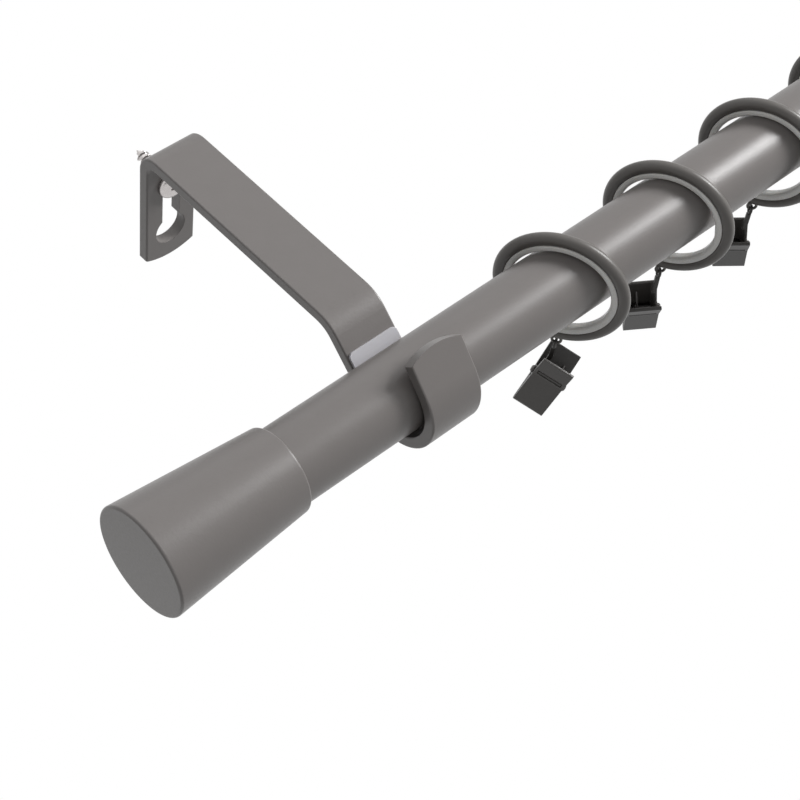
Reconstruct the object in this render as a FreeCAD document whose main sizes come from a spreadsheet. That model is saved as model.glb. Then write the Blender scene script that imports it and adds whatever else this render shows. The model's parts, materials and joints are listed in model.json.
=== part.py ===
import FreeCAD, Part
import math
import os

import Sketcher

# A curtain rod on two strap brackets, with cone finials and eight rings that carry pinch clips.
# Millimetres. X runs along the rod, +Y goes into the wall, +Z is up.
# The origin is where the left wall screw's axis meets the wall.

doc = FreeCAD.newDocument("CurtainRod")

# Driving sizes
SIZES = [
    ("rod_diameter", 25.0),
    ("rod_wall", 1.2),
    ("bracket_spacing", 900.0),
    ("rod_overhang", 53.3),
    ("finial_length", 50.0),
    ("finial_end_diameter", 36.0),
    ("finial_neck_diameter", 28.2),
    ("finial_socket_depth", 22.0),
    ("finial_edge_radius", 0.8),
    ("socket_clearance", 0.05),
    ("wall_reach", 117.5),
    ("strap_width", 20.0),
    ("strap_thickness", 4.0),
    ("strap_edge_radius", 0.6),
    ("arm_top_rise", 6.8),
    ("wall_bend_radius", 4.0),
    ("arm_bend_radius", 10.0),
    ("saddle_thickness", 1.0),
    ("saddle_angle", 49.0),
    ("lip_angle", 43.0),
    ("hook_depth", 0.8),
    ("lip_length", 12.0),
    ("plate_drop", 44.2),
    ("crown_height", 2.2),
    ("screw_drop", 10.5),
    ("slot_width", 7.0),
    ("keyhole_diameter", 12.0),
    ("keyhole_drop", 21.5),
    ("screw_head_diameter", 11.0),
    ("screw_head_height", 2.8),
    ("screw_head_rim", 0.8),
    ("screw_tip", 3.0),
    ("screw_neck_diameter", 5.2),
    ("screw_shank_diameter", 4.4),
    ("screw_depth", 14.0),
    ("saddle_inset", 0.5),
    ("saddle_rise", 14.5),
    ("saddle_wrap", 68.0),
    ("saddle_corner_radius", 1.8),
    ("fit_clearance", 0.02),
    ("ring_diameter", 45.0),
    ("ring_wire_diameter", 4.2),
    ("liner_wall", 1.9),
    ("liner_width", 3.6),
    ("liner_lap", 0.5),
    ("liner_edge", 0.5),
    ("ring_clearance", 0.05),
    ("ring_1_place", 63.6),
    ("ring_2_place", 114.3),
    ("ring_3_place", 162.2),
    ("ring_4_place", 211.0),
    ("ring_1_turn_share", 0.79),
    ("ring_2_turn_share", 0.66),
    ("ring_3_turn_share", 0.635),
    ("ring_4_turn_share", 0.70),
    ("clip_1_yaw", -58.0),
    ("clip_2_yaw", 142.0),
    ("clip_3_yaw", 136.0),
    ("clip_4_yaw", -60.0),
    ("clip_1_pitch", -22.0),
    ("clip_2_pitch", -9.5),
    ("clip_3_pitch", -9.5),
    ("clip_4_pitch", -16.0),
    ("clip_1_roll", 19.0),
    ("clip_2_roll", 10.0),
    ("clip_3_roll", 10.0),
    ("clip_4_roll", 17.0),
    ("eyelet_diameter", 4.0),
    ("eyelet_wire", 1.0),
    ("eyelet_root", 0.5),
    ("eyelet_turn", 6.5),
    ("clip_loop_diameter", 4.0),
    ("clip_loop_wire", 1.0),
    ("clip_width", 11.3),
    ("clip_plate", 1.2),
    ("clip_tip_thickness", 1.0),
    ("clip_jaw_length", 13.0),
    ("clip_front_tab_length", 8.4),
    ("clip_back_tab_length", 10.2),
    ("clip_tab_angle", 22.0),
    ("clip_waist_rise", 0.6),
    ("clip_band_place", 0.8),
    ("clip_band_height", 1.8),
    ("clip_band_depth", 0.4),
    ("clip_band_inset", 1.0),
    ("clip_cheek", 0.8),
    ("clip_side_gap", 0.2),
    ("clip_pin_diameter", 2.0),
    ("clip_pin_head", 2.6),
    ("clip_pin_head_length", 0.9),
    ("clip_boss_wall", 0.6),
    ("clip_neck_width", 1.5),
    ("clip_neck_depth", 1.2),
    ("clip_knee_rise", 8.0),
    ("clip_knee_forward", 1.0),
    ("clip_hang", 7.75),
    ("clip_hang_lean", 29.3),
    ("clip_hang_turn", 15.9),
    ("clip_pin_clearance", 0.05),
    ("clip_mouth_gap", 0.2),
    ("spring_wire", 0.6),
    ("spring_gap", 0.05),
    ("spring_turns", 1.0),
    ("spring_leg", 5.0),
    ("spring_place", 2.0),
]

sheet = doc.addObject("Spreadsheet::Sheet", "Sizes")
for row, (alias, value) in enumerate(SIZES, start=1):
    sheet.set("A%d" % row, alias)
    sheet.set("B%d" % row, str(value))
    sheet.setAlias("B%d" % row, alias)
doc.recompute()


def size(alias):
    """The value of one named size, read back from the spreadsheet."""
    return float(sheet.get(alias))


rod_radius = size("rod_diameter") / 2
strap_w = size("strap_width")
strap_t = size("strap_thickness")
reach = size("wall_reach")
axis_rise = size("screw_drop")
rod_axis_y = -reach
rod_axis_z = axis_rise
HALF_TURN = 180
QUARTER_TURN = 90
EIGHTH_TURN = 45
X_AXIS = FreeCAD.Vector(1, 0, 0)
Y_AXIS = FreeCAD.Vector(0, 1, 0)
Z_AXIS = FreeCAD.Vector(0, 0, 1)
subparts = []


# Drawing helpers

def at_angle(degrees, radius=1.0):
    """A plane vector of the given length, at an angle from the first axis."""
    turn = math.radians(degrees)
    return FreeCAD.Vector(radius * math.cos(turn), radius * math.sin(turn), 0)


def point(x, y):
    return FreeCAD.Vector(x, y, 0)


def new_body(label):
    body = doc.addObject("PartDesign::Body", label)
    body.Label = label
    subparts.append(body)
    return body


def new_sketch(body, name, role, offset=None):
    """A sketch on one of the body's own origin planes, moved by an offset if one is given."""
    sketch = body.newObject("Sketcher::SketchObject", name)
    plane = [feature for feature in body.Origin.OriginFeatures if feature.Role == role][0]
    sketch.AttachmentSupport = [(plane, "")]
    sketch.MapMode = "FlatFace"
    if offset is not None:
        sketch.AttachmentOffset = offset
    return sketch


def draw_outline(sketch, start, steps):
    """Closed outline: each step is an end point, or a middle and an end point of an arc."""
    here = start
    for step in steps:
        if isinstance(step, tuple):
            middle, end = step
            sketch.addGeometry(Part.Arc(here, middle, end))
        else:
            end = step
            sketch.addGeometry(Part.LineSegment(here, end))
        here = end
    if (here - start).Length > 1e-6:
        sketch.addGeometry(Part.LineSegment(here, start))


def draw_circle(sketch, centre, radius_expression):
    """A circle whose radius follows the spreadsheet."""
    index = sketch.addGeometry(Part.Circle(centre, Z_AXIS, 1.0))
    sketch.addConstraint(Sketcher.Constraint("DistanceX", -1, 1, index, 3, centre.x))
    sketch.addConstraint(Sketcher.Constraint("DistanceY", -1, 1, index, 3, centre.y))
    constraint = sketch.addConstraint(Sketcher.Constraint("Radius", index, 1.0))
    sketch.setExpression("Constraints[%d]" % constraint, radius_expression)


def pad(body, sketch, length_expression, symmetric=True):
    feature = body.newObject("PartDesign::Pad", sketch.Name + "Pad")
    feature.Profile = (sketch, [""])
    feature.SideType = "Symmetric" if symmetric else "One side"
    feature.setExpression("Length", length_expression)
    return feature


def pocket(body, sketch, length_expression):
    """A cut that runs the same way to both sides of its sketch, checked to remove material."""
    doc.recompute()
    before = body.Shape.Volume
    feature = body.newObject("PartDesign::Pocket", sketch.Name + "Pocket")
    feature.Profile = (sketch, [""])
    feature.SideType = "Symmetric"
    feature.setExpression("Length", length_expression)
    doc.recompute()
    if body.Shape.Volume >= before:
        raise ValueError(sketch.Name + " removed nothing")
    return feature


def revolve(body, sketch, axis, kind="PartDesign::Revolution"):
    feature = body.newObject(kind, sketch.Name + "Turned")
    feature.Profile = (sketch, [""])
    feature.ReferenceAxis = (sketch, [axis])
    feature.Angle = 360
    return feature


def fillet_edges(body, radius_expression, wanted):
    """Rounds the edges of the body's tip that a test picks out."""
    doc.recompute()
    base = body.Tip
    names = ["Edge%d" % (index + 1) for index, edge in enumerate(base.Shape.Edges) if wanted(edge)]
    feature = body.newObject("PartDesign::Fillet", body.Name + "Fillet")
    feature.Base = (base, names)
    feature.setExpression("Radius", radius_expression)
    return feature


def place(body, base, rotation=None):
    body.Placement = FreeCAD.Placement(base, rotation or FreeCAD.Rotation())


# Where the rod, its ends and the brackets are

left_neck_x = -size("rod_overhang")
right_neck_x = size("bracket_spacing") + size("rod_overhang")
rod_end_gap = size("finial_socket_depth") - size("fit_clearance")
bracket_places = {"left": 0.0, "right": size("bracket_spacing")}


def build_rod():
    body = new_body("rod")
    section = new_sketch(body, "RodSection", "YZ_Plane")
    draw_circle(section, point(0, 0), "Sizes.rod_diameter / 2")
    draw_circle(section, point(0, 0), "Sizes.rod_diameter / 2 - Sizes.rod_wall")
    pad(body, section, "Sizes.bracket_spacing + 2 * (Sizes.rod_overhang"
        " + Sizes.finial_socket_depth - Sizes.fit_clearance)", symmetric=False)
    place(body, FreeCAD.Vector(left_neck_x - rod_end_gap, rod_axis_y, rod_axis_z))


def build_finial(side, neck_x, turn):
    """A solid turned cone, wide at its flat outer end, bored for the rod."""
    body = new_body("finial_" + side)
    profile = new_sketch(body, "FinialProfile", "XY_Plane")
    neck_r = size("finial_neck_diameter") / 2
    end_r = size("finial_end_diameter") / 2
    bore_r = rod_radius + size("socket_clearance")
    length = size("finial_length")
    depth = size("finial_socket_depth")
    draw_outline(profile, point(0, bore_r), [
        point(0, neck_r), point(-length, end_r), point(-length, 0),
        point(-depth, 0), point(-depth, bore_r)])
    revolve(body, profile, "H_Axis")
    fillet_edges(body, "Sizes.finial_edge_radius",
                 lambda edge: len(edge.Vertexes) == 1
                 and abs(edge.BoundBox.ZLength - 2 * bore_r) > 0.01)
    place(body, FreeCAD.Vector(neck_x, rod_axis_y, rod_axis_z), FreeCAD.Rotation(Z_AXIS, turn))


# The strap bracket. Plane vectors here are (Y, Z) from the rod's axis.

support = rod_radius + size("saddle_thickness")
back_normal = at_angle(-size("saddle_angle"))
lip_normal = at_angle(HALF_TURN - size("lip_angle"))
lip_along = at_angle(QUARTER_TURN - size("lip_angle"))
back_along = at_angle(QUARTER_TURN - size("saddle_angle"))
hook_down = (back_normal + lip_normal).normalize()
hook_centre = hook_down * size("hook_depth")
hook_radius = support - size("hook_depth") * hook_down.dot(back_normal)
arm_under = size("arm_top_rise") - strap_t
bend_radius = size("arm_bend_radius")
bend_z = arm_under - bend_radius
bend_y = (support + strap_t + bend_radius - back_normal.y * bend_z) / back_normal.x
bend_centre = point(bend_y, bend_z)
bend_middle = at_angle(QUARTER_TURN + (QUARTER_TURN - size("saddle_angle")) / 2)


def from_axis(vector):
    """A place given from the rod's axis, in the bracket's own Y and Z."""
    return vector + point(rod_axis_y, rod_axis_z)


def strap_outline(sketch):
    """Side view: wall plate, bend, arm, bend, slope behind the rod, hook and leaning lip."""
    corner = size("wall_bend_radius")
    plate_end = -size("plate_drop")
    wall_centre = point(reach - strap_t - corner, arm_under - corner)
    diagonal = at_angle(EIGHTH_TURN)
    lip_end = lip_along * size("lip_length")
    inside = hook_radius
    outside = hook_radius + strap_t
    outer_corner = corner + strap_t
    places = [
        point(reach, wall_centre.y),
        (wall_centre + diagonal * outer_corner, point(wall_centre.x, arm_under + strap_t)),
        point(bend_y, arm_under + strap_t),
        (bend_centre + bend_middle * (bend_radius + strap_t),
         bend_centre - back_normal * (bend_radius + strap_t)),
        hook_centre + back_normal * inside,
        (hook_centre + hook_down * inside, hook_centre + lip_normal * inside),
        lip_normal * support + lip_end,
        lip_normal * (support + strap_t) + lip_end,
        hook_centre + lip_normal * outside,
        (hook_centre + hook_down * outside, hook_centre + back_normal * outside),
        bend_centre - back_normal * bend_radius,
        (bend_centre + bend_middle * bend_radius, point(bend_y, arm_under)),
        point(wall_centre.x, arm_under),
        (wall_centre + diagonal * corner, point(reach - strap_t, wall_centre.y)),
        point(reach - strap_t, plate_end),
    ]
    steps = [tuple(from_axis(end) for end in step) if isinstance(step, tuple) else from_axis(step)
             for step in places]
    draw_outline(sketch, from_axis(point(reach, plate_end)), steps)


def crown_outline(sketch, tip, outward):
    """The waste beyond an arched end, whose middle stands out to the tip."""
    side = strap_w / 2
    shoulder = tip - outward * size("crown_height")
    waste = tip + outward
    draw_outline(sketch, point(-side, shoulder), [
        (point(0, tip), point(side, shoulder)), point(side + 1, shoulder),
        point(side + 1, waste), point(-side - 1, waste), point(-side - 1, shoulder)])


def build_bracket(side):
    """One bent flat strap with soft edges, arched ends and a keyhole for the wall screw."""
    body = new_body("bracket_" + side)
    outline = new_sketch(body, "StrapSide", "YZ_Plane")
    strap_outline(outline)
    pad(body, outline, "Sizes.strap_width")
    fillet_edges(body, "Sizes.strap_edge_radius",
                 lambda edge: edge.BoundBox.XLength < 0.01 and edge.Length > strap_t * 1.01)
    cut_length = "2 * Sizes.strap_thickness + 2"
    foot = new_sketch(body, "PlateEnd", "XZ_Plane")
    crown_outline(foot, rod_axis_z - size("plate_drop"), -1)
    pocket(body, foot, cut_length)
    lip_face = from_axis(lip_normal * support)
    lip_frame = FreeCAD.Placement(FreeCAD.Vector(0, lip_face.y, -lip_face.x),
                                  FreeCAD.Rotation(X_AXIS, -size("lip_angle")))
    lip = new_sketch(body, "LipEnd", "XZ_Plane", lip_frame)
    crown_outline(lip, size("lip_length"), 1)
    pocket(body, lip, cut_length)
    keyhole = new_sketch(body, "Keyhole", "XZ_Plane")
    half_slot = size("slot_width") / 2
    hole_r = size("keyhole_diameter") / 2
    hole_z = -size("keyhole_drop")
    throat_z = hole_z + math.sqrt(hole_r ** 2 - half_slot ** 2)
    draw_outline(keyhole, point(half_slot, 0), [
        (point(0, half_slot), point(-half_slot, 0)), point(-half_slot, throat_z),
        (point(0, hole_z - hole_r), point(half_slot, throat_z))])
    pocket(body, keyhole, cut_length)
    place(body, FreeCAD.Vector(bracket_places[side], 0, 0))


def build_saddle(side):
    """The moulded strip between the rod and the strap, ending under the front of the rod."""
    body = new_body("saddle_" + side)
    outline = new_sketch(body, "SaddleSide", "YZ_Plane")
    top = back_along * size("saddle_rise")
    seat = rod_radius + size("fit_clearance")
    wrap = -size("saddle_angle") - size("saddle_wrap")
    middle = -size("saddle_angle") - size("saddle_wrap") / 2
    skin = hook_radius - size("fit_clearance")
    back = support - size("fit_clearance")
    draw_outline(outline, from_axis(top + back_normal * seat), [
        from_axis(back_normal * seat),
        (from_axis(at_angle(middle, seat)), from_axis(at_angle(wrap, seat))),
        from_axis(hook_centre + at_angle(wrap, skin)),
        (from_axis(hook_centre + at_angle(middle, skin)), from_axis(hook_centre + back_normal * skin)),
        from_axis(top + back_normal * back)])
    pad(body, outline, "Sizes.strap_width - 2 * Sizes.saddle_inset")
    top_z = from_axis(top).y
    fillet_edges(body, "Sizes.saddle_corner_radius",
                 lambda edge: edge.BoundBox.XLength < 0.01 and edge.Length < size("saddle_thickness") * 1.01
                 and edge.BoundBox.ZMax > top_z - support)
    place(body, FreeCAD.Vector(bracket_places[side], 0, 0))


def build_wall_screw(side):
    """A pan-head screw: the head bears on the plate and a plain neck fills the narrow slot."""
    body = new_body("wall_screw_" + side)
    profile = new_sketch(body, "ScrewProfile", "XY_Plane")
    head_r = size("screw_head_diameter") / 2
    neck_r = size("screw_neck_diameter") / 2
    shank_r = size("screw_shank_diameter") / 2
    rim = size("screw_head_rim")
    crown = strap_t + size("screw_head_height")
    shoulder = at_angle(EIGHTH_TURN)
    dome = crown - strap_t - rim
    draw_outline(profile, point(0, -crown), [
        (point(head_r * shoulder.x, -strap_t - rim - dome * shoulder.y), point(head_r, -strap_t - rim)),
        point(head_r, -strap_t), point(neck_r, -strap_t), point(neck_r, 0), point(shank_r, 0),
        point(shank_r, size("screw_depth") - size("screw_tip")), point(0, size("screw_depth"))])
    revolve(body, profile, "V_Axis")
    place(body, FreeCAD.Vector(bracket_places[side], 0, 0))


# The rings. Each stands turned a little on the rod, as it was pushed there.

wire_r = size("ring_wire_diameter") / 2
ring_mid_r = size("ring_diameter") / 2 - wire_r
liner_bore_r = ring_mid_r - wire_r - size("liner_wall")
eyelet_r = size("eyelet_wire") / 2
eyelet_mid_r = size("eyelet_diameter") / 2 - eyelet_r
loop_r = size("clip_loop_wire") / 2
loop_mid_r = size("clip_loop_diameter") / 2 - loop_r
eyelet_drop = size("ring_diameter") / 2 + eyelet_mid_r + eyelet_r - size("eyelet_root")
hold_drop = eyelet_mid_r - eyelet_r - loop_r - size("ring_clearance")
eyelet_spot = at_angle(-QUARTER_TURN - size("eyelet_turn"), eyelet_drop)
eyelet_place = FreeCAD.Vector(0, eyelet_spot.x, eyelet_spot.y)
LIFT_STEPS = 200

# The turn about the vertical at which a liner's rims would touch the rod on both sides
liner_half = size("liner_width") / 2
rim_r = math.hypot(liner_bore_r, liner_half)
free_turn = math.degrees(math.acos((rod_radius + size("ring_clearance")) / rim_r)
                         - math.atan2(liner_half, liner_bore_r))


def ring_centre_z(yaw):
    """Height of a ring's centre over the origin when its liner just clears the rod's top."""
    turn = math.radians(abs(yaw))
    clear_r = rod_radius + size("ring_clearance")
    shift = liner_half * math.sin(turn)
    lift = clear_r - liner_bore_r
    for step in range(1, LIFT_STEPS):
        across = liner_bore_r * step / LIFT_STEPS
        offset = across * math.cos(turn) - shift
        if abs(offset) < clear_r:
            need = math.sqrt(clear_r ** 2 - offset ** 2) - math.sqrt(liner_bore_r ** 2 - across ** 2)
            lift = max(lift, need)
    return rod_axis_z + lift


def torus(name, mid_expression, wire_expression, placement):
    shape = doc.addObject("Part::Torus", name)
    shape.setExpression("Radius1", mid_expression)
    shape.setExpression("Radius2", wire_expression)
    shape.Placement = placement
    return shape


def build_ring(number, centre, yaw, clip_yaw):
    """The wire ring with a small eye under it, turned to suit its clip."""
    hoop = torus("Hoop%d" % number, "(Sizes.ring_diameter - Sizes.ring_wire_diameter) / 2",
                 "Sizes.ring_wire_diameter / 2",
                 FreeCAD.Placement(FreeCAD.Vector(), FreeCAD.Rotation(Y_AXIS, QUARTER_TURN)))
    eye_turn = FreeCAD.Rotation(Z_AXIS, clip_yaw - yaw) * FreeCAD.Rotation(X_AXIS, QUARTER_TURN)
    eye = torus("Eye%d" % number, "(Sizes.eyelet_diameter - Sizes.eyelet_wire) / 2",
                "Sizes.eyelet_wire / 2",
                FreeCAD.Placement(eyelet_place, eye_turn))
    ring = doc.addObject("Part::Fuse", "ring_%d" % number)
    ring.Label = "ring_%d" % number
    ring.Base = hoop
    ring.Tool = eye
    subparts.append(ring)
    place(ring, centre, FreeCAD.Rotation(Z_AXIS, yaw))


def build_liner(number, centre, yaw):
    """The plastic hoop that clips inside the wire and slides on the rod."""
    body = new_body("ring_liner_%d" % number)
    section = new_sketch(body, "LinerSection", "XY_Plane")
    side = liner_half
    inner = liner_bore_r
    outer = ring_mid_r - wire_r + size("liner_lap")
    soft = size("liner_edge")
    draw_outline(section, point(-side + soft, inner), [
        point(side - soft, inner), point(side, inner + soft), point(side, outer),
        point(-side, outer), point(-side, inner + soft)])
    revolve(body, section, "H_Axis")
    seat = new_sketch(body, "WireSeat", "XY_Plane")
    draw_circle(seat, point(0, ring_mid_r), "Sizes.ring_wire_diameter / 2 + Sizes.fit_clearance")
    revolve(body, seat, "H_Axis", "PartDesign::Groove")
    place(body, centre, FreeCAD.Rotation(Z_AXIS, yaw))


# The pinch clips. Each is drawn upright about its pin: X along the pin, -Y to the front.

clip_pin_r = size("clip_pin_diameter") / 2
spring_r = size("spring_wire") / 2
spring_mid_r = clip_pin_r + size("clip_pin_clearance") + spring_r
clip_waist = spring_mid_r + spring_r + size("clip_side_gap") + size("clip_pin_clearance")
cheek_r = clip_waist - size("clip_side_gap")
plate = size("clip_plate")
waist_high = size("clip_waist_rise")
waist_low = -2 * waist_high
mouth = size("clip_mouth_gap") / 2
neck_place = size("clip_width") / 2 - size("clip_cheek") - size("clip_side_gap") - size("clip_neck_width") / 2
knee = FreeCAD.Vector(-neck_place, -size("clip_knee_forward"), size("clip_knee_rise"))
hang_turn = FreeCAD.Rotation(Y_AXIS, -size("clip_hang_turn"))
hang_along = at_angle(QUARTER_TURN + size("clip_hang_lean"))
JAW_SIGN = {"front": -1, "back": 1}


def clip_placement(hold, yaw, pitch, roll):
    """Turned as it hangs, with the top of its loop at the place that holds it."""
    turned = FreeCAD.Rotation(Z_AXIS, yaw) * FreeCAD.Rotation(X_AXIS, pitch) * FreeCAD.Rotation(Y_AXIS, roll)
    up = (turned * hang_turn).inverted().multVec(Z_AXIS)
    across = FreeCAD.Vector(0, up.y, up.z).normalize()
    hang = FreeCAD.Vector(0, hang_along.x, hang_along.y) * size("clip_hang")
    top = knee + hang_turn.multVec(hang + across * loop_mid_r)
    return FreeCAD.Placement(hold - turned.multVec(top), turned)


def tab_line(kind):
    """The direction of a finger tab, the way out of it, its inner root and its inner end."""
    along = at_angle(QUARTER_TURN - size("clip_tab_angle"))
    out = at_angle(-size("clip_tab_angle"))
    root = point(clip_waist, waist_high)
    return along, out, root, root + along * size("clip_%s_tab_length" % kind)


def signed(sign, places):
    """The same places on the front or the back side of the pin."""
    return [point(sign * step.x, step.y) for step in places]


def jaw_outline(sketch, kind):
    """Side view of one jaw: tapered lower part, waist round the pin, flared finger tab."""
    tip = -size("clip_jaw_length")
    slope = clip_waist - mouth
    half_tan = math.tan(math.radians(size("clip_tab_angle") / 2))
    along, out, root, end = tab_line(kind)
    thin = size("clip_tip_thickness")
    soft = plate / 4
    places = signed(JAW_SIGN[kind], [
        point(mouth, tip), point(mouth, waist_low - slope), point(clip_waist, waist_low), root,
        end - along * soft, end + out * soft, end + out * (plate - soft), end + out * plate - along * soft,
        point(clip_waist + plate, waist_high - plate * half_tan), point(mouth + thin, tip + thin / 2),
        point(mouth + thin / 2, tip)])
    draw_outline(sketch, places[0], places[1:])


def cheek_outline(sketch, sign):
    """Side view of the ears that hold the pin."""
    root = sign * (clip_waist + plate / 4)
    draw_outline(sketch, point(0, cheek_r), [
        point(root, waist_high), point(root, waist_low), point(0, -cheek_r),
        (point(-sign * cheek_r, 0), point(0, cheek_r))])


def build_jaw(kind, number, placement):
    """A moulded jaw. The back one also has the neck and loop that hang it on the ring."""
    body = new_body("clip_%s_%d" % (kind, number))
    sign = JAW_SIGN[kind]
    outer = "Sizes.clip_width"
    if kind == "back":
        outer = "Sizes.clip_width - 2 * (Sizes.clip_cheek + Sizes.clip_side_gap)"
    ears = new_sketch(body, "Ears", "YZ_Plane")
    cheek_outline(ears, sign)
    pad(body, ears, outer)
    between = new_sketch(body, "BetweenEars", "YZ_Plane")
    room = cheek_r * 2
    draw_outline(between, point(-room, -room), [
        point(room, -room), point(room, room), point(-room, room)])
    pocket(body, between, outer + " - 2 * Sizes.clip_cheek")
    side = new_sketch(body, "JawSide", "YZ_Plane")
    jaw_outline(side, kind)
    pad(body, side, "Sizes.clip_width")
    band = new_sketch(body, "GripBand", "YZ_Plane")
    along, out, root = tab_line(kind)[:3]
    band_low = root + out * plate + along * size("clip_band_place")
    band_high = band_low + along * size("clip_band_height")
    band_floor = out * size("clip_band_depth")
    band_places = signed(sign, [band_low - band_floor, band_high - band_floor, band_high + out, band_low + out])
    draw_outline(band, band_places[0], band_places[1:])
    pocket(body, band, "Sizes.clip_width - 2 * Sizes.clip_band_inset")
    if kind == "back":
        build_neck(body)
    bore = new_sketch(body, "PinBore", "YZ_Plane")
    draw_circle(bore, point(0, 0), "Sizes.clip_pin_diameter / 2 + Sizes.clip_pin_clearance")
    pocket(body, bore, "Sizes.clip_width + 2")
    body.Placement = placement


def strip(start, end, half):
    """Corners of a strip of the given half width from one place to another."""
    along = (end - start).normalize()
    side = point(-along.y, along.x) * half
    return [start + side, end + side, end - side, start - side]


def build_neck(body):
    """A neck that rises from a boss round the pin, bends over the front tab and ends in a loop."""
    foot_frame = FreeCAD.Placement(FreeCAD.Vector(0, 0, -neck_place), FreeCAD.Rotation())
    boss = new_sketch(body, "Boss", "YZ_Plane", foot_frame)
    draw_circle(boss, point(0, 0), "Sizes.clip_pin_diameter / 2 + Sizes.clip_boss_wall")
    pad(body, boss, "Sizes.clip_neck_width")
    neck_r = size("clip_neck_depth") / 2
    knee_spot = point(knee.y, knee.z)
    riser = new_sketch(body, "NeckRiser", "YZ_Plane", foot_frame)
    corners = strip(point(0, 0), knee_spot, neck_r)
    draw_outline(riser, corners[0], corners[1:])
    pad(body, riser, "Sizes.clip_neck_width")
    bend = new_sketch(body, "NeckBend", "YZ_Plane", foot_frame)
    draw_circle(bend, knee_spot, "Sizes.clip_neck_depth / 2")
    pad(body, bend, "Sizes.clip_neck_width")
    foot = new_sketch(body, "NeckFoot", "YZ_Plane", foot_frame)
    back_face = clip_waist + plate / 2
    draw_outline(foot, point(0, waist_high), [
        point(back_face, waist_high), point(back_face, waist_low / 2), point(0, waist_low / 2)])
    pad(body, foot, "Sizes.clip_neck_width")
    hang_frame = FreeCAD.Placement(FreeCAD.Vector(knee.y, knee.z, knee.x),
                                   FreeCAD.Rotation(X_AXIS, -size("clip_hang_turn")))
    hanger = new_sketch(body, "NeckHanger", "YZ_Plane", hang_frame)
    corners = strip(point(0, 0), hang_along * (size("clip_hang") - loop_mid_r), neck_r)
    draw_outline(hanger, corners[0], corners[1:])
    pad(body, hanger, "Sizes.clip_neck_width")
    loop = body.newObject("PartDesign::AdditiveTorus", "Loop")
    plane = [feature for feature in body.Origin.OriginFeatures if feature.Role == "YZ_Plane"][0]
    loop.AttachmentSupport = [(plane, "")]
    loop.MapMode = "FlatFace"
    loop.AttachmentOffset = hang_frame * FreeCAD.Placement(hang_along * size("clip_hang"), FreeCAD.Rotation())
    loop.setExpression("Radius1", "(Sizes.clip_loop_diameter - Sizes.clip_loop_wire) / 2")
    loop.setExpression("Radius2", "Sizes.clip_loop_wire / 2")


def build_pin(number, placement):
    """A headed pin, its heads just outside the front jaw's ears."""
    body = new_body("clip_pin_%d" % number)
    profile = new_sketch(body, "PinProfile", "XY_Plane")
    reach_x = size("clip_width") / 2 + size("clip_pin_clearance")
    end_x = reach_x + size("clip_pin_head_length")
    head_r = size("clip_pin_head") / 2
    soft = size("clip_pin_head_length") / 2
    draw_outline(profile, point(-end_x, 0), [
        point(-end_x, head_r - soft), point(-end_x + soft, head_r), point(-reach_x, head_r),
        point(-reach_x, clip_pin_r), point(reach_x, clip_pin_r), point(reach_x, head_r),
        point(end_x - soft, head_r), point(end_x, head_r - soft), point(end_x, 0)])
    revolve(body, profile, "H_Axis")
    body.Placement = placement


def spring_leg(kind):
    """Where one leg leaves the coil and where it ends on the inner face of its finger tab."""
    along, out, root = tab_line(kind)[:3]
    end = root - out * (spring_r + size("spring_gap")) + along * size("spring_leg")
    touch = math.degrees(math.atan2(end.y, end.x) + math.acos(spring_mid_r / end.Length))
    leave = at_angle(touch, spring_mid_r)
    return signed(JAW_SIGN[kind], [leave, end])


def build_spring(number, placement):
    """A wire spring wound round the pin, with a leg that presses each finger tab open."""
    spring = doc.addObject("Part::Feature", "clip_spring_%d" % number)
    spring.Label = "clip_spring_%d" % number
    subparts.append(spring)
    front_leave, front_end = spring_leg("front")
    back_leave, back_end = spring_leg("back")
    front_turn = math.degrees(math.atan2(front_leave.y, front_leave.x))
    back_turn = math.degrees(math.atan2(back_leave.y, back_leave.x))
    sweep = 360 * size("spring_turns") + (front_turn - back_turn) % 360
    pitch = size("spring_wire") + size("spring_gap")
    rise = pitch * sweep / 360
    lean = pitch / (2 * math.pi * spring_mid_r)
    helix = Part.makeHelix(pitch, rise, spring_mid_r, 0, True)
    helix.rotate(FreeCAD.Vector(), Z_AXIS, front_turn)
    front_top = front_end - Z_AXIS * lean * (front_end - front_leave).Length
    back_top = back_end + Z_AXIS * (rise + lean * (back_end - back_leave).Length)
    path = Part.Wire([Part.makeLine(front_top, front_leave)] + helix.Edges
                     + [Part.makeLine(back_leave + Z_AXIS * rise, back_top)])
    section = Part.Wire(Part.makeCircle(spring_r, front_top, front_leave - front_top))
    coil = path.makePipeShell([section], True, False)
    middle = X_AXIS * (size("spring_place") - rise / 2)
    upright = FreeCAD.Placement(middle, FreeCAD.Rotation(Y_AXIS, Z_AXIS, X_AXIS, "ZXY"))
    spring.Shape = coil.transformGeometry(upright.toMatrix())
    spring.Placement = placement


def build_ring_set(number, along, yaw, clip_yaw, pitch, roll):
    """One ring with its liner and the clip that hangs under it."""
    centre = FreeCAD.Vector(along, rod_axis_y, ring_centre_z(yaw))
    build_ring(number, centre, yaw, clip_yaw)
    build_liner(number, centre, yaw)
    eyelet = centre + FreeCAD.Rotation(Z_AXIS, yaw).multVec(eyelet_place)
    hung = clip_placement(eyelet - Z_AXIS * hold_drop, clip_yaw, pitch, roll)
    build_jaw("back", number, hung)
    build_jaw("front", number, hung)
    build_pin(number, hung)
    build_spring(number, hung)


build_rod()
build_finial("left", left_neck_x, 0)
build_finial("right", right_neck_x, HALF_TURN)
for bracket_side in bracket_places:
    build_bracket(bracket_side)
    build_saddle(bracket_side)
    build_wall_screw(bracket_side)

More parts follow.
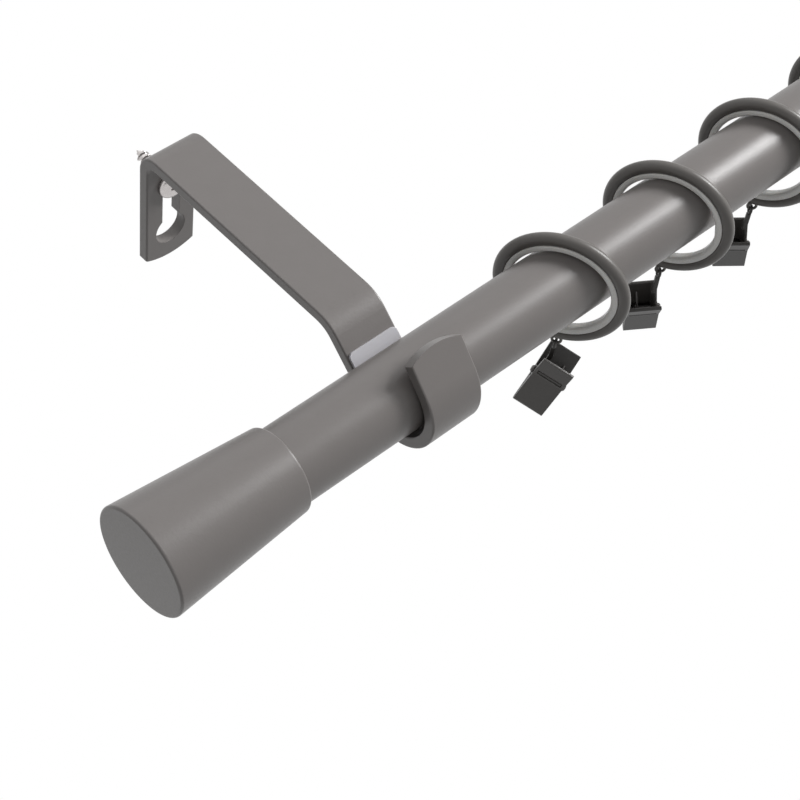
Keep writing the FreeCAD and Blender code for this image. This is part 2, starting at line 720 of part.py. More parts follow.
# Four rings stand near the left bracket and four, in mirror image, near the right one
for place_number in range(1, 5):
    spot = size("ring_%d_place" % place_number)
    ring_yaw = free_turn * size("ring_%d_turn_share" % place_number)
    hang_yaw, hang_pitch, hang_roll = [
        size("clip_%d_%s" % (place_number, turn)) for turn in ("yaw", "pitch", "roll")]
    build_ring_set(place_number, spot, ring_yaw, hang_yaw, hang_pitch, hang_roll)
    build_ring_set(9 - place_number, size("bracket_spacing") - spot,
                   -ring_yaw, -hang_yaw, hang_pitch, hang_roll)

doc.recompute()
for item in doc.Objects:
    if "Invalid" in item.State or "Error" in item.State:
        raise ValueError("%s failed: %s" % (item.Name, item.State))
for item in subparts:
    if item.Shape.isNull() or not item.Shape.isValid():
        raise ValueError(item.Label + " has no valid shape")

os.makedirs("parts", exist_ok=True)
for item in subparts:
    item.Shape.exportStep("parts/%s.step" % item.Label)
    print(item.Label, round(item.Shape.Volume, 1), len(item.Shape.Solids))
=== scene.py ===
"""Looks of a curtain rod with cone finials, strap brackets, rings and clips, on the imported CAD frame."""

import json
import logging
import math
from dataclasses import dataclass, field
from enum import Enum

import bmesh
import bpy
from mathutils import Matrix, Vector


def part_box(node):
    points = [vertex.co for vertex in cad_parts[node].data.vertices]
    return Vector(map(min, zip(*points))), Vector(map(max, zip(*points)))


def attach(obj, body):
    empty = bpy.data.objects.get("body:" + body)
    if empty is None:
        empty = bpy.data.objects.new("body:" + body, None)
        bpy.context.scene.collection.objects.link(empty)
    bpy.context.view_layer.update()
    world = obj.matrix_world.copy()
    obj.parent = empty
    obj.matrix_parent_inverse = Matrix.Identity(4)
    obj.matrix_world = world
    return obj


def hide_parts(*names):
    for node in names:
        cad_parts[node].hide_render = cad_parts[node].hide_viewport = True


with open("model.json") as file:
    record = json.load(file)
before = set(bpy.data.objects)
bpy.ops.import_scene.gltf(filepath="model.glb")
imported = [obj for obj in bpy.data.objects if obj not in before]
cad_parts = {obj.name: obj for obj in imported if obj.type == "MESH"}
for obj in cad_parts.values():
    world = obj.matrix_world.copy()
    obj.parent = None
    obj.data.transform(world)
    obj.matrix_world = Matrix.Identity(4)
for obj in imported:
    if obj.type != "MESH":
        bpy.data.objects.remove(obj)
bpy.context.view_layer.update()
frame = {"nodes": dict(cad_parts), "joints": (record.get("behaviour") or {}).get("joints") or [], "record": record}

LOG = logging.getLogger("curtain_rod")
MM = 0.001

# An edge that bends by more than this many degrees stays sharp.
SHARP_DEG = 35.0


# Small shared helpers


def linear(hex_colour: str) -> tuple[float, float, float, float]:
    """Turn an sRGB hex colour into linear light.

    Args:
        hex_colour: six hex digits, such as "6f6a66".

    Returns:
        Linear red, green and blue, with alpha 1.
    """
    parts = [int(hex_colour[i:i + 2], 16) / 255 for i in (0, 2, 4)]
    red, green, blue = (p / 12.92 if p <= 0.04045 else ((p + 0.055) / 1.055) ** 2.4 for p in parts)
    return red, green, blue, 1.0


def add_node(tree: bpy.types.NodeTree, kind: str, settings: dict[str, object] | None = None,
             links: dict[str, bpy.types.NodeSocket] | None = None) -> bpy.types.Node:
    """Add one node, set its sockets and properties, and link its inputs.

    Args:
        tree: the node tree that gets the node.
        kind: the node's type name.
        settings: input sockets or properties by name, with their values.
        links: input sockets by name, with the sockets that feed them.

    Returns:
        The new node.
    """
    node = tree.nodes.new(kind)
    for name, value in (settings or {}).items():
        if name in node.inputs:
            node.inputs[name].default_value = value
        else:
            setattr(node, name, value)
    for name, source in (links or {}).items():
        tree.links.new(source, node.inputs[name])
    return node


def per_metre(grain_mm: float) -> float:
    """Texture scale that makes one feature of a pattern this many millimetres wide."""
    return 1 / (grain_mm * MM)


def spin(name: str, outline: list[tuple[float, float]], segments: int, closed: bool) -> bpy.types.Mesh:
    """Turn an outline round the Y axis into a smooth mesh.

    Args:
        name: the mesh's name.
        outline: (distance from the axis, place along it) in millimetres.
        segments: steps in a full turn.
        closed: whether the last point joins the first, as in a ring's section.

    Returns:
        The mesh, in metres.
    """
    shape = bmesh.new()
    angles = [math.tau * k / segments for k in range(segments)]
    loops = []
    for reach, along in outline:
        if reach == 0.0:
            loops.append([shape.verts.new((0.0, along * MM, 0.0))])
            continue
        loops.append([shape.verts.new((reach * MM * math.cos(a), along * MM, reach * MM * math.sin(a)))
                      for a in angles])
    pairs = list(zip(loops, loops[1:] + loops[:1] if closed else loops[1:]))
    for near, far in pairs:
        for k in range(segments):
            ring = [near[k % len(near)], near[(k + 1) % len(near)],
                    far[(k + 1) % len(far)], far[k % len(far)]]
            shape.faces.new(list(dict.fromkeys(ring)))
    bmesh.ops.recalc_face_normals(shape, faces=shape.faces)
    return finished_mesh(name, shape)


def finished_mesh(name: str, shape: bmesh.types.BMesh) -> bpy.types.Mesh:
    """Store a shape as a smooth-shaded mesh that keeps its real corners.

    Args:
        name: the mesh's name.
        shape: the shape, which is freed.

    Returns:
        The mesh.
    """
    mesh = bpy.data.meshes.new(name)
    shape.to_mesh(mesh)
    shape.free()
    mesh.shade_smooth()
    mesh.set_sharp_from_angle(angle=math.radians(SHARP_DEG))
    return mesh


def place_piece(name: str, mesh: bpy.types.Mesh, where: Matrix) -> bpy.types.Object:
    """Put a mesh into the scene with its place baked in, as the CAD nodes have it.

    Args:
        name: the piece's name.
        mesh: its mesh in its own axes.
        where: from those axes to the part's frame.

    Returns:
        The piece.
    """
    mesh.transform(where)
    piece = bpy.data.objects.new(name, mesh)
    bpy.context.scene.collection.objects.link(piece)
    return piece


# Finishes

# Detail of the wide colour clouds, and of the fine grain that sets gloss and relief.
CLOUD_DETAIL = 4.0
GRAIN_DETAIL = 2.0

# Noise stays between these two values nearly everywhere, so they stand for its full swing.
NOISE_LOW = 0.3
NOISE_HIGH = 0.7

# How far the roughness swings to each side of its middle value.
GLOSS_SWING = 0.04

# How much of the relief's depth shows, and how finely a rounded corner is shaded.
RELIEF_STRENGTH = 0.6
EDGE_SAMPLES = 6

# Light goes about a millimetre into a milky plastic, and red light goes furthest.
SCATTER_MM = 1.0
SCATTER_RATIOS = (1.0, 0.9, 0.8)


@dataclass(frozen=True)
class Finish:
    """What every finish here has: a base colour, a gloss, and a fine unevenness in both."""

    name: str
    colour: str
    mottle: str
    roughness: float
    mottle_mm: float
    texture_mm: float
    relief_mm: float
    ior: float = 1.5
    metallic: float = 0.0
    subsurface: float = 0.0
    specular: float = 0.5
    edge_mm: float = 0.2

    def build(self) -> bpy.types.Material:
        """Make the material.

        Returns:
            A material whose colour, gloss and relief come from noise at real sizes, with corners
            shaded as slightly rounded.
        """
        material = bpy.data.materials.new(self.name)
        material.use_nodes = True
        tree = material.node_tree
        tree.nodes.clear()
        place = add_node(tree, "ShaderNodeTexCoord").outputs["Object"]
        cloud = add_node(tree, "ShaderNodeTexNoise",
                         {"Scale": per_metre(self.mottle_mm), "Detail": CLOUD_DETAIL}, {"Vector": place})
        grain = add_node(tree, "ShaderNodeTexNoise",
                         {"Scale": per_metre(self.texture_mm), "Detail": GRAIN_DETAIL}, {"Vector": place})
        shade = add_node(tree, "ShaderNodeMix", {"data_type": "RGBA"}, {"Factor": cloud.outputs["Fac"]})
        shade.inputs["A"].default_value = linear(self.colour)
        shade.inputs["B"].default_value = linear(self.mottle)
        gloss = add_node(tree, "ShaderNodeMapRange",
                         {"From Min": NOISE_LOW, "From Max": NOISE_HIGH,
                          "To Min": self.roughness - GLOSS_SWING, "To Max": self.roughness + GLOSS_SWING},
                         {"Value": grain.outputs["Fac"]})
        edge = add_node(tree, "ShaderNodeBevel", {"Radius": self.edge_mm * MM, "samples": EDGE_SAMPLES})
        relief = add_node(tree, "ShaderNodeBump",
                          {"Strength": RELIEF_STRENGTH, "Distance": self.relief_mm * MM},
                          {"Height": grain.outputs["Fac"], "Normal": edge.outputs["Normal"]})
        shader = add_node(tree, "ShaderNodeBsdfPrincipled",
                          {"IOR": self.ior, "Metallic": self.metallic, "Specular IOR Level": self.specular},
                          {"Base Color": shade.outputs["Result"], "Roughness": gloss.outputs["Result"],
                           "Normal": relief.outputs["Normal"]})
        if self.subsurface:
            shader.inputs["Subsurface Weight"].default_value = self.subsurface
            shader.inputs["Subsurface Radius"].default_value = SCATTER_RATIOS
            shader.inputs["Subsurface Scale"].default_value = SCATTER_MM * MM
        add_node(tree, "ShaderNodeOutputMaterial", None, {"Surface": shader.outputs["BSDF"]})
        return material


# Polyester powder coat baked on steel: flows into a fine orange peel, so the satin sheen
# breaks up a little and edges glow softly instead of reflecting the room.
POWDER_COAT = Finish("satin_powder_coat", "6b6765", "6f6b69", roughness=0.35, mottle_mm=6.0, texture_mm=0.8,
                     relief_mm=0.03)

# The same coat on the ring wire, in a darker tone than on the rod and brackets.
RING_COAT = Finish("satin_powder_coat_on_wire", "5b5855", "5f5c59", roughness=0.38, mottle_mm=4.0,
                   texture_mm=0.6, relief_mm=0.02, specular=0.42)

# Bright zinc plate on turned or drawn steel: a cool metal with faint clouding from the bath.
ZINC_PLATE = Finish("bright_zinc_plate", "c9c5c3", "b9b4b3", roughness=0.28, mottle_mm=1.5, texture_mm=0.3,
                    relief_mm=0.01, metallic=1.0)

# Moulded white polypropylene: waxy, a little light passes into it, smooth from the tool.
WHITE_POLYPROPYLENE = Finish("moulded_white_polypropylene", "f2f1ee", "ecebe7", roughness=0.26, mottle_mm=4.0,
                             texture_mm=0.5, relief_mm=0.01, subsurface=0.25, specular=0.6)

# Clear-tinted low-density polyethylene pad: pale bluish grey and milky, with a dull skin.
MILKY_POLYETHYLENE = Finish("milky_polyethylene", "b6b5ba", "bdbcc0", roughness=0.42, mottle_mm=3.0,
                            texture_mm=0.5, relief_mm=0.01, subsurface=0.3)

# Moulded glass-filled nylon of the clips: nearly black brown grey with a spark-eroded texture.
CLIP_NYLON = Finish("moulded_dark_nylon", "4a4744", "403d3b", roughness=0.38, mottle_mm=2.0, texture_mm=0.25,
                    relief_mm=0.02, edge_mm=0.35)

# The same nylon on the clips' back jaw, painted darker as shade: painted shade for the shade that falls between
# the jaws and under the rod and ring. It is also duller where the tool is unpolished.
NYLON_PAINTED_SHADE = Finish("moulded_nylon_painted_shade", "2f2d2b", "292725", roughness=0.46, mottle_mm=2.0,
                     texture_mm=0.25, relief_mm=0.02, specular=0.4, edge_mm=0.35)

# Zinc plate passivated black, on the clips' spring wire and pins: a dark metal with a soft glint.
BLACK_ZINC = Finish("black_passivated_zinc", "5a5857", "4c4a49", roughness=0.34, mottle_mm=1.0,
                    texture_mm=0.3, relief_mm=0.01, metallic=1.0)


class Slot(Enum):
    """The record's material slots, each with the finish that it shows."""

    COATED_STEEL = POWDER_COAT
    ZINC_STEEL = ZINC_PLATE
    WHITE_PLASTIC = WHITE_POLYPROPYLENE
    PAD_PLASTIC = MILKY_POLYETHYLENE
    CLIP_PLASTIC = CLIP_NYLON

    @property
    def key(self) -> str:
        """The slot's name in the record."""
        return self.name.lower()


@dataclass
class Wardrobe:
    """Builds each finish once and dresses pieces with it."""

    made: dict[str, bpy.types.Material] = field(default_factory=dict)

    def material(self, finish: Finish) -> bpy.types.Material:
        """The material of a finish, made the first time that it is asked for."""
        if finish.name not in self.made:
            self.made[finish.name] = finish.build()
        return self.made[finish.name]

    def dress(self, piece: bpy.types.Object, finish: Finish) -> None:
        """Give a piece one finish all over.

        Args:
            piece: a mesh.
            finish: the finish that it takes.
        """
        piece.data.materials.clear()
        piece.data.materials.append(self.material(finish))


@dataclass
class Hardware:
    """The CAD nodes that keep their shape and get a finish, the back jaws' darkened as painted shade."""

    wardrobe: Wardrobe
    # Kinds of node whose finish is a variant of their slot's. The back jaw's variant is darker nylon, as painted
    # shade.
    variants: dict[str, Finish] = field(default_factory=lambda: {
        "clip_pin": BLACK_ZINC, "clip_spring": BLACK_ZINC, "clip_back": NYLON_PAINTED_SHADE, "ring": RING_COAT})

    def dress_nodes(self) -> None:
        """Dress every CAD node by its slot in the record, or by its kind where that has a variant."""
        for part in frame["record"]["subparts"]:
            node = frame["nodes"][part["node"]]
            kind = part["node"].rpartition("_")[0]
            slot = Slot[part["material_slot"].upper()]
            self.wardrobe.dress(node, self.variants.get(kind, slot.value))
            LOG.info("dressed %s as %s", node.name, part["material_slot"])


@dataclass
class RingLiners:
    """The white liners clipped into the rings: a rounded bead towards the rod, a wire groove behind it."""

    wardrobe: Wardrobe
    # Each ring's turn about the vertical in degrees, from the left.
    turns: tuple[float, ...] = (27.03, 22.58, 21.73, 23.95, -23.95, -21.73, -22.58, -27.03)
    # The section in millimetres, as in the CAD source.
    bore: float = 16.4
    half_width: float = 1.8
    lip: float = 18.8
    corner: float = 1.1
    lip_corner: float = 0.35
    wire_centre: float = 20.4
    wire_seat: float = 2.15
    arc_steps: int = 6
    segments: int = 120

    def arc(self, centre: tuple[float, float], radius: float, start: float,
            end: float) -> list[tuple[float, float]]:
        """Points on an arc of the section.

        Args:
            centre: (distance from the ring's axis, place along it) in millimetres.
            radius: the arc's radius in millimetres.
            start: first angle in degrees, from the outward direction towards the ring's front.
            end: last angle in degrees.

        Returns:
            The points, both ends included.
        """
        steps = [math.radians(start + (end - start) * k / self.arc_steps) for k in range(self.arc_steps + 1)]
        return [(centre[0] + radius * math.cos(a), centre[1] + radius * math.sin(a)) for a in steps]

    def section(self) -> list[tuple[float, float]]:
        """The closed section: bead on the bore side, lips and wire groove on the other."""
        inner = (self.bore + self.corner, self.half_width - self.corner)
        outer = (self.lip - self.lip_corner, self.half_width - self.lip_corner)
        half = self.arc(outer, self.lip_corner, 0.0, 90.0) + self.arc(inner, self.corner, 90.0, 180.0)
        other = [(reach, -along) for reach, along in reversed(half)]
        open_half = math.degrees(math.acos((self.wire_centre - self.lip) / self.wire_seat))
        groove = self.arc((self.wire_centre, 0.0), self.wire_seat, 180.0 + open_half, 180.0 - open_half)
        return half + other + groove

    def build(self) -> None:
        """Make the eight liners in place of the CAD ones."""
        for number, turn in enumerate(self.turns, start=1):
            node = "ring_liner_%d" % number
            low, high = (Vector(corner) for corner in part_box(node))
            quarter = Matrix.Rotation(-math.pi / 2, 4, "Z")
            middle = Matrix.Translation((low + high) / 2)
            where = middle @ Matrix.Rotation(math.radians(turn), 4, "Z") @ quarter
            mesh = spin("liner_bead", self.section(), self.segments, True)
            piece = place_piece("liner_bead_%d" % number, mesh, where)
            self.wardrobe.dress(piece, WHITE_POLYPROPYLENE)
            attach(piece, "ring_%d" % number)
            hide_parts(node)
            LOG.info("built %s", piece.name)


@dataclass
class ClipFittings:
    """What each clip carries: a wire spring, whose front leg moves with the jaw, and two grip ribs."""

    wardrobe: Wardrobe
    # Yaw, pitch and roll of the four left clips in degrees. The right ones mirror them.
    hang: tuple[tuple[float, float, float], ...] = (
        (-58.0, -22.0, 19.0), (142.0, -9.5, 10.0), (136.0, -9.5, 10.0), (-60.0, -16.0, 17.0))
    # The spring in millimetres and degrees, as in the CAD source.
    wire: float = 0.3
    leg_wire: float = 0.285
    coil_radius: float = 1.35
    coil_pitch: float = 0.65
    coil_place: float = 2.0
    leave_deg: float = 135.06
    turns_deg: float = 629.87
    leg_end: tuple[float, float] = (3.4485, 5.367)
    coil_start_deg: float = 16.0
    leg_wrap_deg: float = 25.0
    step_deg: float = 9.0
    round_steps: int = 4
    cap_sharp_deg: float = 50.0
    # A finger tab's slope and root, and the rib that lies in its groove.
    tab_deg: float = 22.0
    tab_root: tuple[float, float] = (1.9, 0.6)
    rib_along: float = 1.7
    rib_out: float = 0.8
    rib_radius: float = 0.42
    rib_half: float = 4.5
    rib_arc_steps: int = 6
    rib_segments: int = 24

    def clip_frame(self, number: int) -> Matrix:
        """From a clip's own axes, X along its pin and -Y to its front, to the part's frame.

        Args:
            number: the clip's number, 1 to 8 from the left.

        Returns:
            The matrix, for lengths in metres.
        """
        mirrored = number > len(self.hang)
        yaw, pitch, roll = self.hang[2 * len(self.hang) - number if mirrored else number - 1]
        joint = next(j for j in frame["joints"] if j["name"] == "jaw_%d_open" % number)
        turn = Matrix.Rotation(math.radians(-yaw if mirrored else yaw), 4, "Z")
        turn = turn @ Matrix.Rotation(math.radians(pitch), 4, "X")
        turn = turn @ Matrix.Rotation(math.radians(roll), 4, "Y")
        return Matrix.Translation(joint["pos_m"]) @ turn

    def coil_point(self, swept: float) -> Vector:
        """A point of the coil, the given angle after it leaves the front leg, in millimetres."""
        rise = self.coil_pitch * self.turns_deg / 360
        angle = math.radians(180 - self.leave_deg - swept)
        return Vector((self.coil_place - rise / 2 + rise * swept / self.turns_deg,
                       self.coil_radius * math.cos(angle), self.coil_radius * math.sin(angle)))

    def coil_run(self, start: float, end: float) -> list[Vector]:
        """Points of the coil between two swept angles in degrees."""
        count = max(2, round((end - start) / self.step_deg))
        return [self.coil_point(start + (end - start) * k / count) for k in range(count + 1)]

    def wire_mesh(self, points: list[Vector], radius: float) -> bpy.types.Mesh:
        """Round wire along points.

        Args:
            points: the wire's middle line in millimetres.
            radius: the wire's radius in millimetres.

        Returns:
            The mesh, in metres.
        """
        line = bpy.data.curves.new("spring_wire", "CURVE")
        line.dimensions = "3D"
        line.bevel_depth = radius * MM
        line.bevel_resolution = self.round_steps
        line.use_fill_caps = True
        run = line.splines.new("POLY")
        run.points.add(len(points) - 1)
        for place, point in zip(run.points, points):
            place.co = (*(point * MM), 1.0)
        holder = bpy.data.objects.new("spring_wire", line)
        bpy.context.scene.collection.objects.link(holder)
        graph = bpy.context.evaluated_depsgraph_get()
        mesh = bpy.data.meshes.new_from_object(holder.evaluated_get(graph))
        bpy.data.objects.remove(holder)
        mesh.shade_smooth()
        mesh.set_sharp_from_angle(angle=math.radians(self.cap_sharp_deg))
        return mesh

    def rib_mesh(self) -> bpy.types.Mesh:
        """A half-sunk grip rib with rounded ends."""
        angles = [math.pi / 2 * k / self.rib_arc_steps for k in range(self.rib_arc_steps + 1)]
        middle = self.rib_half - self.rib_radius
        end = [(self.rib_radius * math.sin(a), middle + self.rib_radius * math.cos(a)) for a in angles]
        outline = end + [(reach, -along) for reach, along in reversed(end)]
        return spin("grip_rib", outline, self.rib_segments, False)

    def rib_place(self, side: float) -> Matrix:
        """Where the rib lies in the groove of a finger tab.

        Args:
            side: -1 for the front tab, 1 for the back one.

        Returns:
            From the rib's axes to the clip's.
        """
        tilt = math.radians(self.tab_deg)
        along, out = Vector((math.sin(tilt), math.cos(tilt))), Vector((math.cos(tilt), -math.sin(tilt)))
        spot = Vector(self.tab_root) + along * self.rib_along + out * self.rib_out
        lie = Matrix.Rotation(-math.pi / 2, 4, "Z")
        return Matrix.Translation((0.0, side * spot.x * MM, spot.y * MM)) @ lie

    def add(self, name: str, mesh: bpy.types.Mesh, where: Matrix, body: str) -> bpy.types.Object:
        """Place one fitting on its body.

        Args:
            name: the piece's name.
            mesh: its mesh in the clip's axes.
            where: from the clip's axes to the part's frame.
            body: the body that it rides on.

        Returns:
            The piece.
        """
        piece = place_piece(name, mesh, where)
        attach(piece, body)
        LOG.info("built %s on %s", name, body)
        return piece

    def build(self) -> None:
        """Make the springs in place of the CAD ones, and the ribs in the tabs' grooves."""
        front_end = Vector((self.coil_point(0).x, -self.leg_end[0], self.leg_end[1]))
        back_end = Vector((self.coil_point(self.turns_deg).x, self.leg_end[0], self.leg_end[1]))
        coil = self.coil_run(self.coil_start_deg, self.turns_deg) + [back_end]
        leg = [front_end] + self.coil_run(0.0, self.leg_wrap_deg)
        for number in range(1, 2 * len(self.hang) + 1):
            where = self.clip_frame(number)
            clip, jaw = "clip_%d" % number, "jaw_%d" % number
            coil_wire = self.add("spring_coil_%d" % number, self.wire_mesh(coil, self.wire), where, clip)
            leg_wire = self.add("spring_leg_%d" % number, self.wire_mesh(leg, self.leg_wire), where, jaw)
            for wire in (coil_wire, leg_wire):
                self.wardrobe.dress(wire, BLACK_ZINC)
                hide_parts("clip_spring_%d" % number)
            front = self.add("front_rib_%d" % number, self.rib_mesh(), where @ self.rib_place(-1.0), jaw)
            back = self.add("back_rib_%d" % number, self.rib_mesh(), where @ self.rib_place(1.0), clip)
            self.wardrobe.dress(front, CLIP_NYLON)
            # The back rib takes the back jaw's nylon, darkened as painted shade.
            self.wardrobe.dress(back, NYLON_PAINTED_SHADE)


@dataclass
class WallScrews:
    """The pan-head wood screws that the brackets hang on, with cross recess and rolled thread."""

    wardrobe: Wardrobe
    # Each screw's place along the rod in millimetres.
    places: dict[str, float] = field(default_factory=lambda: {"left": 0.0, "right": 900.0})
    # The screw in millimetres, measured from the wall plane, as in the CAD source.
    head_radius: float = 5.5
    head_back: float = -4.0
    rim: float = 0.8
    rim_edge: float = 0.15
    dome: float = 2.0
    dome_steps: int = 10
    neck_radius: float = 2.6
    neck_end: float = -0.3
    neck_overlap: float = 0.2
    thread_radius: float = 2.2
    core_radius: float = 1.55
    thread_pitch: float = 1.8
    ridge_share: float = 0.5
    thread_end: float = 11.0
    tip: float = 14.0
    thread_steps: int = 12
    segments: int = 48
    recess_reach: float = 2.5
    recess_half: float = 0.55
    recess_depth: float = 2.1
    recess_rise: float = 0.5
    recess_taper: float = 0.45

    def head_mesh(self) -> bpy.types.Mesh:
        """Pan head and plain neck, turned, with the cross recess sunk into the crown."""
        face = self.head_back - self.rim
        angles = [math.pi / 2 * (1 - k / self.dome_steps) for k in range(self.dome_steps + 1)]
        outline = [(self.head_radius * math.cos(a), face - self.dome * math.sin(a)) for a in angles]
        outline[0] = (0.0, face - self.dome)
        outline += [(self.head_radius, self.head_back - self.rim_edge),
                    (self.head_radius - self.rim_edge, self.head_back),
                    (self.neck_radius, self.head_back), (self.neck_radius, self.neck_end),
                    (0.0, self.neck_end)]
        return spin("pan_head", outline, self.segments, False)

    def recess_mesh(self) -> bpy.types.Mesh:
        """The cross-shaped drive, narrower at its floor."""
        top = self.head_back - self.rim - self.dome
        reach, half = self.recess_reach, self.recess_half
        corner = [(half, half), (half, reach), (-half, reach)]
        quarter_turns = ((1, 0), (0, 1), (-1, 0), (0, -1))
        cross = [(x * c - z * s, x * s + z * c) for c, s in quarter_turns for x, z in corner]
        shape = bmesh.new()
        levels = ((top - self.recess_rise, 1.0), (top + self.recess_depth, self.recess_taper))
        mouth, base = ([shape.verts.new((x * k * MM, y * MM, z * k * MM)) for x, z in cross]
                       for y, k in levels)
        shape.faces.new(mouth)
        shape.faces.new(base)
        for k in range(len(cross)):
            after = (k + 1) % len(cross)
            shape.faces.new((mouth[k], mouth[after], base[after], base[k]))
        bmesh.ops.recalc_face_normals(shape, faces=shape.faces)
        return finished_mesh("cross_recess", shape)

    def cut(self, head: bpy.types.Mesh, tool: bpy.types.Mesh) -> bpy.types.Mesh:
        """Sink the recess into the head.

        Args:
            head: the head's mesh.
            tool: the recess's mesh.

        Returns:
            The cut mesh.
        """
        body = bpy.data.objects.new("head_blank", head)
        punch = bpy.data.objects.new("recess_punch", tool)
        for item in (body, punch):
            bpy.context.scene.collection.objects.link(item)
        sink = body.modifiers.new("recess", "BOOLEAN")
        sink.object = punch
        sink.operation = "DIFFERENCE"
        sink.solver = "EXACT"
        graph = bpy.context.evaluated_depsgraph_get()
        done = bpy.data.meshes.new_from_object(body.evaluated_get(graph))
        for item in (body, punch):
            bpy.data.objects.remove(item)
        return done

    def thread_reach(self, along: float, angle: float) -> float:
        """Distance of the thread's surface from the screw's axis.

        Args:
            along: place along the screw in millimetres.
            angle: angle round it in radians.

        Returns:
            The distance in millimetres, fading to the neck and to the point.
        """
        phase = (along / self.thread_pitch - angle / math.tau) % 1.0
        crest = max(0.0, 1 - abs(phase - 0.5) / (self.ridge_share / 2))
        fade = min(1.0, max(0.0, along / self.thread_pitch))
        point = max(0.0, (self.tip - along) / (self.tip - self.thread_end))
        taper = 1.0 if along < self.thread_end else point
        return (self.core_radius + (self.thread_radius - self.core_radius) * crest * fade) * taper

    def shank(self, shape: bmesh.types.BMesh) -> None:
        """Add the threaded shank and its gimlet point to a shape.

        Args:
            shape: the shape that gets the shank.
        """
        step = self.thread_pitch / self.thread_steps
        count = round((self.tip - self.neck_end) / step)
        start = self.neck_end - self.neck_overlap
        stations = [start + (self.tip - start) * k / count for k in range(count)]
        angles = [math.tau * k / self.segments for k in range(self.segments)]
        loops = []
        for along in stations:
            reaches = [self.thread_reach(along, a) * MM for a in angles]
            loops.append([shape.verts.new((r * math.cos(a), along * MM, r * math.sin(a)))
                          for r, a in zip(reaches, angles)])
        point = shape.verts.new((0.0, self.tip * MM, 0.0))
        for near, far in zip(loops, loops[1:]):
            for k in range(self.segments):
                after = (k + 1) % self.segments
                shape.faces.new((near[k], far[k], far[after], near[after]))
        for k in range(self.segments):
            shape.faces.new((loops[-1][k], point, loops[-1][(k + 1) % self.segments]))

    def build(self) -> None:
        """Make both screws in place of the CAD ones."""
        head = self.cut(self.head_mesh(), self.recess_mesh())
        for side, place in self.places.items():
            shape = bmesh.new()
            shape.from_mesh(head)
            self.shank(shape)
            bmesh.ops.recalc_face_normals(shape, faces=shape.faces)
            piece = place_piece("pan_screw_%s" % side, finished_mesh("pan_screw", shape),
                                Matrix.Translation((place * MM, 0.0, 0.0)))
            self.wardrobe.dress(piece, ZINC_PLATE)
            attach(piece, "rail")
            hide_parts("wall_screw_%s" % side)
            LOG.info("built %s", piece.name)


@dataclass(frozen=True)
class Lamp:
    """A square soft lamp: its name, its place and side in metres, and its power in watts."""

    name: str
    place: tuple[float, float, float]
    side: float
    watts: float


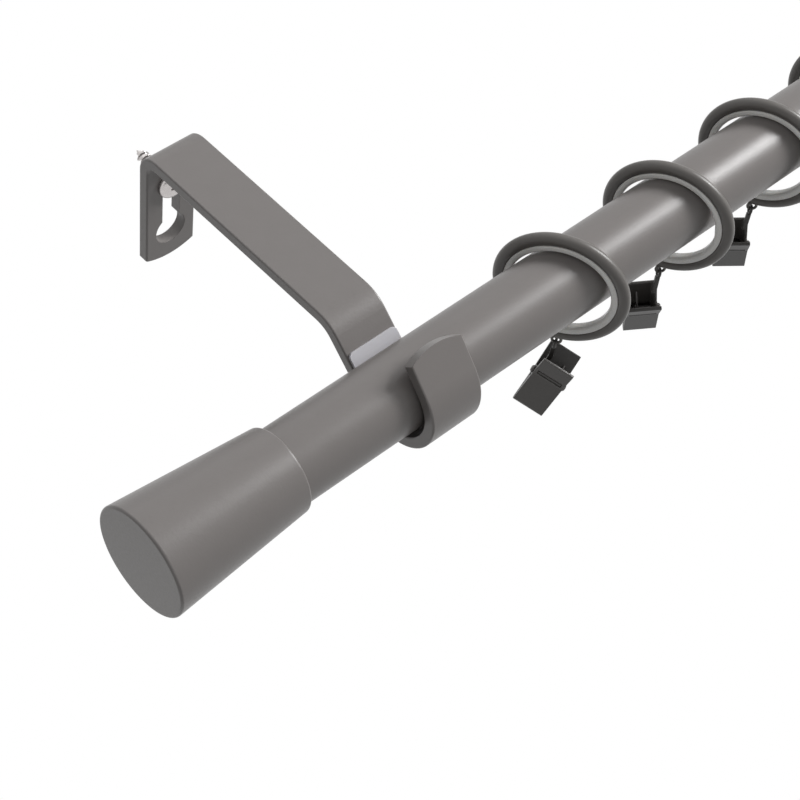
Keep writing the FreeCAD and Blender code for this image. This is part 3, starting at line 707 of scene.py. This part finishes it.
@dataclass
class Studio:
    """Floor, light and camera."""

    floor_middle: tuple[float, float, float] = (0.45, 0.0, -0.75)
    floor_size: float = 12.0
    focal_px: float = 1972.7
    image_px: float = 800.0
    centre_px: tuple[float, float] = (427.35, 441.73)
    sensor: float = 36.0
    nearest: float = 0.01
    eye: tuple[float, float, float] = (-0.28851, -0.34919, 0.46324)
    right: tuple[float, float, float] = (0.7203, -0.6837, 0.1169)
    down: tuple[float, float, float] = (-0.4987, -0.6275, -0.5979)
    lamps: tuple[Lamp, ...] = (
        Lamp("key_lamp", (1.31, -0.45, 0.92), 0.6, 30.0),
        Lamp("wall_side_lamp", (0.05, 0.88, 1.28), 2.4, 10.5),
        Lamp("front_lamp", (-0.56, -1.49, 0.45), 1.2, 2.0),
    )
    fill_level: float = 0.25
    floor_grey: str = "7c7c7c"
    aim: tuple[float, float, float] = (0.05, -0.08, 0.0)

    def white_seen_directly(self, tree: bpy.types.NodeTree) -> bpy.types.NodeSocket:
        """One for camera, glossy and transmission rays, so that the background shows white there.

        Args:
            tree: the node tree that gets the nodes.

        Returns:
            A socket that is 1 for those rays and 0 for others.
        """
        path = add_node(tree, "ShaderNodeLightPath")
        seen = path.outputs["Is Camera Ray"]
        for ray in ("Is Glossy Ray", "Is Transmission Ray"):
            either = add_node(tree, "ShaderNodeMath", {"operation": "MAXIMUM"})
            tree.links.new(seen, either.inputs[0])
            tree.links.new(path.outputs[ray], either.inputs[1])
            seen = either.outputs[0]
        return seen

    def build_world(self) -> None:
        """Even soft fill, and white where the background itself is seen."""
        world = bpy.data.worlds.new("studio_fill")
        world.use_nodes = True
        tree = world.node_tree
        tree.nodes.clear()
        seen = self.white_seen_directly(tree)
        level = add_node(tree, "ShaderNodeMapRange", {"To Min": self.fill_level, "To Max": 1.0},
                         {"Value": seen})
        white = add_node(tree, "ShaderNodeBackground", {"Color": linear("ffffff")},
                         {"Strength": level.outputs["Result"]})
        add_node(tree, "ShaderNodeOutputWorld", None, {"Surface": white.outputs["Background"]})
        bpy.context.scene.world = world

    def build_floor(self) -> None:
        """A plain pale floor that keeps a faint shadow and otherwise shows white."""
        mesh = bpy.data.meshes.new("floor")
        shape = bmesh.new()
        bmesh.ops.create_grid(shape, x_segments=1, y_segments=1, size=self.floor_size / 2)
        shape.to_mesh(mesh)
        shape.free()
        floor = bpy.data.objects.new("floor", mesh)
        floor.location = self.floor_middle
        bpy.context.scene.collection.objects.link(floor)
        material = bpy.data.materials.new("pale_floor")
        material.use_nodes = True
        tree = material.node_tree
        tree.nodes.clear()
        matt = add_node(tree, "ShaderNodeBsdfDiffuse", {"Color": linear(self.floor_grey)})
        glow = add_node(tree, "ShaderNodeEmission", {"Strength": 1.0})
        blend = add_node(tree, "ShaderNodeMixShader", None, {"Fac": self.white_seen_directly(tree)})
        tree.links.new(matt.outputs["BSDF"], blend.inputs[1])
        tree.links.new(glow.outputs["Emission"], blend.inputs[2])
        add_node(tree, "ShaderNodeOutputMaterial", None, {"Surface": blend.outputs["Shader"]})
        mesh.materials.append(material)

    def build_lamp(self, lamp: Lamp) -> None:
        """Hang one lamp, aimed at the left bracket.

        Args:
            lamp: what to hang and where.
        """
        light = bpy.data.lights.new(lamp.name, "AREA")
        light.size = lamp.side
        light.energy = lamp.watts
        hung = bpy.data.objects.new(lamp.name, light)
        hung.location = lamp.place
        hung.rotation_euler = (Vector(self.aim) - Vector(lamp.place)).to_track_quat("-Z", "Y").to_euler()
        bpy.context.scene.collection.objects.link(hung)

    def build_camera(self) -> None:
        """The camera at the photograph's place and angle."""
        lens = bpy.data.cameras.new("photo_camera")
        lens.sensor_width = self.sensor
        lens.lens = self.focal_px / self.image_px * self.sensor
        lens.shift_x = (self.image_px / 2 - self.centre_px[0]) / self.image_px
        lens.shift_y = (self.centre_px[1] - self.image_px / 2) / self.image_px
        lens.clip_start = self.nearest
        camera = bpy.data.objects.new("photo_camera", lens)
        right = Vector(self.right).normalized()
        up = -Vector(self.down).normalized()
        back = right.cross(up)
        turn = Matrix((right, up, back)).transposed()
        camera.matrix_world = Matrix.Translation(Vector(self.eye)) @ turn.to_4x4()
        bpy.context.scene.collection.objects.link(camera)
        bpy.context.scene.camera = camera

    def build(self) -> None:
        """Set up the whole studio."""
        self.build_world()
        self.build_floor()
        for lamp in self.lamps:
            self.build_lamp(lamp)
        self.build_camera()
        bpy.context.scene.view_settings.view_transform = "Standard"


def main() -> None:
    """Dress the rod and set up the studio."""
    logging.basicConfig(level=logging.INFO)
    wardrobe = Wardrobe()
    Hardware(wardrobe).dress_nodes()
    RingLiners(wardrobe).build()
    ClipFittings(wardrobe).build()
    WallScrews(wardrobe).build()
    Studio().build()


if __name__ == "__main__":
    main()
